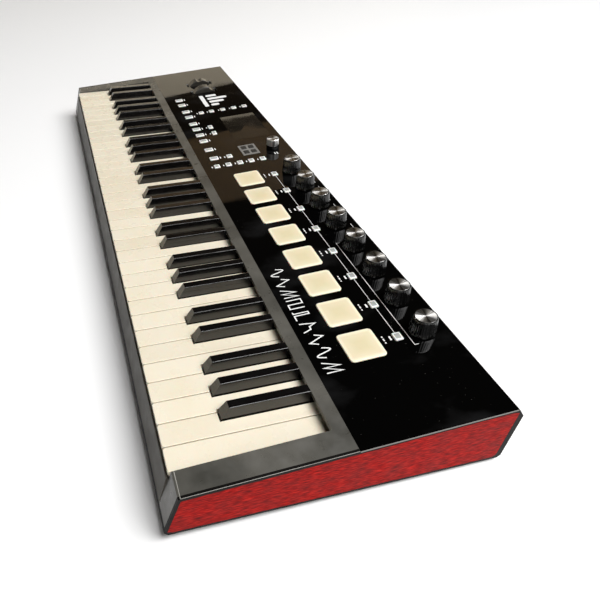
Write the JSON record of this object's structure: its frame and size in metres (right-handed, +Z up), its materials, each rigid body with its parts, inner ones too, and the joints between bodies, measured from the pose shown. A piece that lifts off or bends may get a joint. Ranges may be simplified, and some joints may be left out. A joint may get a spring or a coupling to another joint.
{
  "type": "synthesizer keyboard",
  "caption": "Keyboard synthesizer with sprung piano keys, a glossy control panel with pads, knobs, buttons and wheels, and red end panels.",
  "frame": {"origin": "centre of the footprint, on the surface the rubber feet stand on", "axes": "+X along the keyboard to the treble end, +Y to the rear, +Z up"},
  "size_m": [0.8996, 0.298, 0.087],
  "materials": {
    "satin_black_abs": "satin moulded ABS",
    "grey_abs": "fine matt moulded ABS",
    "ivory_keys": "satin ivory acrylic",
    "black_keys": "satin black",
    "panel_acrylic": "polished black acrylic",
    "red_panel": "red, fine brushed",
    "pad_silicone": "translucent cream silicone",
    "button_silicone": "translucent white silicone",
    "knob_black": "satin black with turned aluminium top",
    "dial_metal": "turned aluminium",
    "keypad_silver": "satin silver",
    "keypad_dark": "dark silicone",
    "wheel_rubber": "soft-touch black",
    "zinc_steel": "zinc plated",
    "felt": "wool felt",
    "circuit_board": "solder mask",
    "dome_rubber": "moulded silicone",
    "lcd_glass": "unlit display",
    "foot_rubber": "matt",
    "socket_plastic": "moulded nylon"
  },
  "bodies": {
    "case": {"bottom_case": "satin_black_abs", "case_screws": "zinc_steel", "control_panel": "panel_acrylic", "display_module": "lcd_glass", "encoder_bodies": "socket_plastic", "end_cap_left": "satin_black_abs", "end_cap_right": "satin_black_abs", "front_rail": "grey_abs", "key_contact_board": "circuit_board", "key_dome_strips": "dome_rubber", "key_felt": "felt", "key_pivot_rod": "zinc_steel", "keybed_chassis": "zinc_steel", "keypad_frame": "keypad_silver", "main_board": "circuit_board", "panel_board": "circuit_board", "power_switch_frame": "socket_plastic", "rear_sockets": "socket_plastic", "rubber_feet": "foot_rubber", "side_panel_left": "red_panel", "side_panel_right": "red_panel", "top_case": "grey_abs", "wheel_bracket": "zinc_steel"},
    "black_key_55": {"black_key_55": "black_keys"},
    "black_key_57": {"black_key_57": "black_keys"},
    "black_key_59": {"black_key_59": "black_keys"},
    "black_keys": {"black_keys": "black_keys"},
    "column_buttons": {"column_buttons": "button_silicone"},
    "data_dial": {"data_dial": "dial_metal"},
    "keypad_buttons": {"keypad_buttons": "keypad_dark"},
    "knob_1": {"knob_1": "knob_black"},
    "knob_2": {"knob_2": "knob_black"},
    "knob_3": {"knob_3": "knob_black"},
    "knob_4": {"knob_4": "knob_black"},
    "knob_5": {"knob_5": "knob_black"},
    "knob_6": {"knob_6": "knob_black"},
    "knob_7": {"knob_7": "knob_black"},
    "knob_8": {"knob_8": "knob_black"},
    "lower_row_buttons": {"lower_row_buttons": "button_silicone"},
    "mod_wheel": {"mod_wheel": "wheel_rubber"},
    "pad_1": {"pad_1": "pad_silicone"},
    "pad_2": {"pad_2": "pad_silicone"},
    "pad_3": {"pad_3": "pad_silicone"},
    "pad_4": {"pad_4": "pad_silicone"},
    "pad_5": {"pad_5": "pad_silicone"},
    "pad_6": {"pad_6": "pad_silicone"},
    "pad_7": {"pad_7": "pad_silicone"},
    "pad_8": {"pad_8": "pad_silicone"},
    "page_buttons": {"page_buttons": "button_silicone"},
    "pitch_wheel": {"pitch_wheel": "wheel_rubber"},
    "power_rocker": {"power_rocker": "knob_black"},
    "switch_buttons": {"switch_buttons": "button_silicone"},
    "upper_row_buttons": {"upper_row_buttons": "button_silicone"},
    "white_key_53": {"white_key_53": "ivory_keys"},
    "white_key_54": {"white_key_54": "ivory_keys"},
    "white_key_56": {"white_key_56": "ivory_keys"},
    "white_key_58": {"white_key_58": "ivory_keys"},
    "white_key_60": {"white_key_60": "ivory_keys"},
    "white_key_61": {"white_key_61": "ivory_keys"},
    "white_keys": {"white_keys": "ivory_keys"}
  },
  "joints": [
    {"name": "black_key_55_press", "type": "hinge", "parent": "case", "child": "black_key_55", "pos_m": [0, 0.0395, 0.04], "axis": [1, 0, 0], "range_deg": [0, 3], "stiffness_Nm_per_rad": 3, "springref_deg": -2.01},
    {"name": "black_key_57_press", "type": "hinge", "parent": "case", "child": "black_key_57", "pos_m": [0, 0.0395, 0.04], "axis": [1, 0, 0], "range_deg": [0, 3], "stiffness_Nm_per_rad": 3, "springref_deg": -2.01},
    {"name": "black_key_59_press", "type": "hinge", "parent": "case", "child": "black_key_59", "pos_m": [0, 0.0395, 0.04], "axis": [1, 0, 0], "range_deg": [0, 3], "stiffness_Nm_per_rad": 3, "springref_deg": -2.01},
    {"name": "black_keys_press", "type": "hinge", "parent": "case", "child": "black_keys", "pos_m": [0, 0.0395, 0.04], "axis": [1, 0, 0], "range_deg": [0, 3], "stiffness_Nm_per_rad": 63, "springref_deg": -2.01},
    {"name": "column_buttons_press", "type": "slide", "parent": "case", "child": "column_buttons", "axis": [0, 0.0558, -0.9984], "range_m": [0, 0.0008], "stiffness_N_per_m": 4000, "springref_m": -0.0005},
    {"name": "data_dial_turn", "type": "hinge", "parent": "case", "child": "data_dial", "pos_m": [-0.0665, 0.11653, 0.06778], "axis": [0, -0.0558, 0.9984], "continuous": true},
    {"name": "keypad_buttons_press", "type": "slide", "parent": "case", "child": "keypad_buttons", "axis": [0, 0.0558, -0.9984], "range_m": [0, 0.0008], "stiffness_N_per_m": 1600, "springref_m": -0.0005},
    {"name": "knob_1_turn", "type": "hinge", "parent": "case", "child": "knob_1", "pos_m": [0.0093, 0.11713, 0.06782], "axis": [0, -0.0558, 0.9984], "continuous": true},
    {"name": "knob_2_turn", "type": "hinge", "parent": "case", "child": "knob_2", "pos_m": [0.0573, 0.11713, 0.06782], "axis": [0, -0.0558, 0.9984], "continuous": true},
    {"name": "knob_3_turn", "type": "hinge", "parent": "case", "child": "knob_3", "pos_m": [0.1053, 0.11713, 0.06782], "axis": [0, -0.0558, 0.9984], "continuous": true},
    {"name": "knob_4_turn", "type": "hinge", "parent": "case", "child": "knob_4", "pos_m": [0.1533, 0.11713, 0.06782], "axis": [0, -0.0558, 0.9984], "continuous": true},
    {"name": "knob_5_turn", "type": "hinge", "parent": "case", "child": "knob_5", "pos_m": [0.2013, 0.11713, 0.06782], "axis": [0, -0.0558, 0.9984], "continuous": true},
    {"name": "knob_6_turn", "type": "hinge", "parent": "case", "child": "knob_6", "pos_m": [0.2493, 0.11713, 0.06782], "axis": [0, -0.0558, 0.9984], "continuous": true},
    {"name": "knob_7_turn", "type": "hinge", "parent": "case", "child": "knob_7", "pos_m": [0.2973, 0.11713, 0.06782], "axis": [0, -0.0558, 0.9984], "continuous": true},
    {"name": "knob_8_turn", "type": "hinge", "parent": "case", "child": "knob_8", "pos_m": [0.3453, 0.11713, 0.06782], "axis": [0, -0.0558, 0.9984], "continuous": true},
    {"name": "lower_row_buttons_press", "type": "slide", "parent": "case", "child": "lower_row_buttons", "axis": [0, 0.0558, -0.9984], "range_m": [0, 0.0008], "stiffness_N_per_m": 2400, "springref_m": -0.0005},
    {"name": "mod_wheel_roll", "type": "hinge", "parent": "case", "child": "mod_wheel", "pos_m": [-0.333, 0.08062, 0.05075], "axis": [-1, 0, 0], "range_deg": [0, 62]},
    {"name": "pad_1_press", "type": "slide", "parent": "case", "child": "pad_1", "axis": [0, 0.0558, -0.9984], "range_m": [0, 0.0008], "stiffness_N_per_m": 1500, "springref_m": -0.0004},
    {"name": "pad_2_press", "type": "slide", "parent": "case", "child": "pad_2", "axis": [0, 0.0558, -0.9984], "range_m": [0, 0.0008], "stiffness_N_per_m": 1500, "springref_m": -0.0004},
    {"name": "pad_3_press", "type": "slide", "parent": "case", "child": "pad_3", "axis": [0, 0.0558, -0.9984], "range_m": [0, 0.0008], "stiffness_N_per_m": 1500, "springref_m": -0.0004},
    {"name": "pad_4_press", "type": "slide", "parent": "case", "child": "pad_4", "axis": [0, 0.0558, -0.9984], "range_m": [0, 0.0008], "stiffness_N_per_m": 1500, "springref_m": -0.0004},
    {"name": "pad_5_press", "type": "slide", "parent": "case", "child": "pad_5", "axis": [0, 0.0558, -0.9984], "range_m": [0, 0.0008], "stiffness_N_per_m": 1500, "springref_m": -0.0004},
    {"name": "pad_6_press", "type": "slide", "parent": "case", "child": "pad_6", "axis": [0, 0.0558, -0.9984], "range_m": [0, 0.0008], "stiffness_N_per_m": 1500, "springref_m": -0.0004},
    {"name": "pad_7_press", "type": "slide", "parent": "case", "child": "pad_7", "axis": [0, 0.0558, -0.9984], "range_m": [0, 0.0008], "stiffness_N_per_m": 1500, "springref_m": -0.0004},
    {"name": "pad_8_press", "type": "slide", "parent": "case", "child": "pad_8", "axis": [0, 0.0558, -0.9984], "range_m": [0, 0.0008], "stiffness_N_per_m": 1500, "springref_m": -0.0004},
    {"name": "page_buttons_press", "type": "slide", "parent": "case", "child": "page_buttons", "axis": [0, 0.0558, -0.9984], "range_m": [0, 0.0008], "stiffness_N_per_m": 800, "springref_m": -0.0005},
    {"name": "pitch_wheel_roll", "type": "hinge", "parent": "case", "child": "pitch_wheel", "pos_m": [-0.371, 0.08062, 0.05075], "axis": [-1, 0, 0], "range_deg": [-30, 30], "stiffness_Nm_per_rad": 0.12},
    {"name": "power_rocker_tilt", "type": "hinge", "parent": "case", "child": "power_rocker", "pos_m": [-0.015, 0.143, 0.026], "axis": [0, 0, 1], "range_deg": [0, 9]},
    {"name": "switch_buttons_press", "type": "slide", "parent": "case", "child": "switch_buttons", "axis": [0, 0.0558, -0.9984], "range_m": [0, 0.0008], "stiffness_N_per_m": 3200, "springref_m": -0.0005},
    {"name": "upper_row_buttons_press", "type": "slide", "parent": "case", "child": "upper_row_buttons", "axis": [0, 0.0558, -0.9984], "range_m": [0, 0.0008], "stiffness_N_per_m": 2000, "springref_m": -0.0005},
    {"name": "white_key_53_press", "type": "hinge", "parent": "case", "child": "white_key_53", "pos_m": [0, 0.0395, 0.04], "axis": [1, 0, 0], "range_deg": [0, 3], "stiffness_Nm_per_rad": 3, "springref_deg": -2.01},
    {"name": "white_key_54_press", "type": "hinge", "parent": "case", "child": "white_key_54", "pos_m": [0, 0.0395, 0.04], "axis": [1, 0, 0], "range_deg": [0, 3], "stiffness_Nm_per_rad": 3, "springref_deg": -2.01},
    {"name": "white_key_56_press", "type": "hinge", "parent": "case", "child": "white_key_56", "pos_m": [0, 0.0395, 0.04], "axis": [1, 0, 0], "range_deg": [0, 3], "stiffness_Nm_per_rad": 3, "springref_deg": -2.01},
    {"name": "white_key_58_press", "type": "hinge", "parent": "case", "child": "white_key_58", "pos_m": [0, 0.0395, 0.04], "axis": [1, 0, 0], "range_deg": [0, 3], "stiffness_Nm_per_rad": 3, "springref_deg": -2.01},
    {"name": "white_key_60_press", "type": "hinge", "parent": "case", "child": "white_key_60", "pos_m": [0, 0.0395, 0.04], "axis": [1, 0, 0], "range_deg": [0, 3], "stiffness_Nm_per_rad": 3, "springref_deg": -2.01},
    {"name": "white_key_61_press", "type": "hinge", "parent": "case", "child": "white_key_61", "pos_m": [0, 0.0395, 0.04], "axis": [1, 0, 0], "range_deg": [0, 3], "stiffness_Nm_per_rad": 3, "springref_deg": -2.01},
    {"name": "white_keys_press", "type": "hinge", "parent": "case", "child": "white_keys", "pos_m": [0, 0.0395, 0.04], "axis": [1, 0, 0], "range_deg": [0, 3], "stiffness_Nm_per_rad": 87, "springref_deg": -2.01}
  ]
}
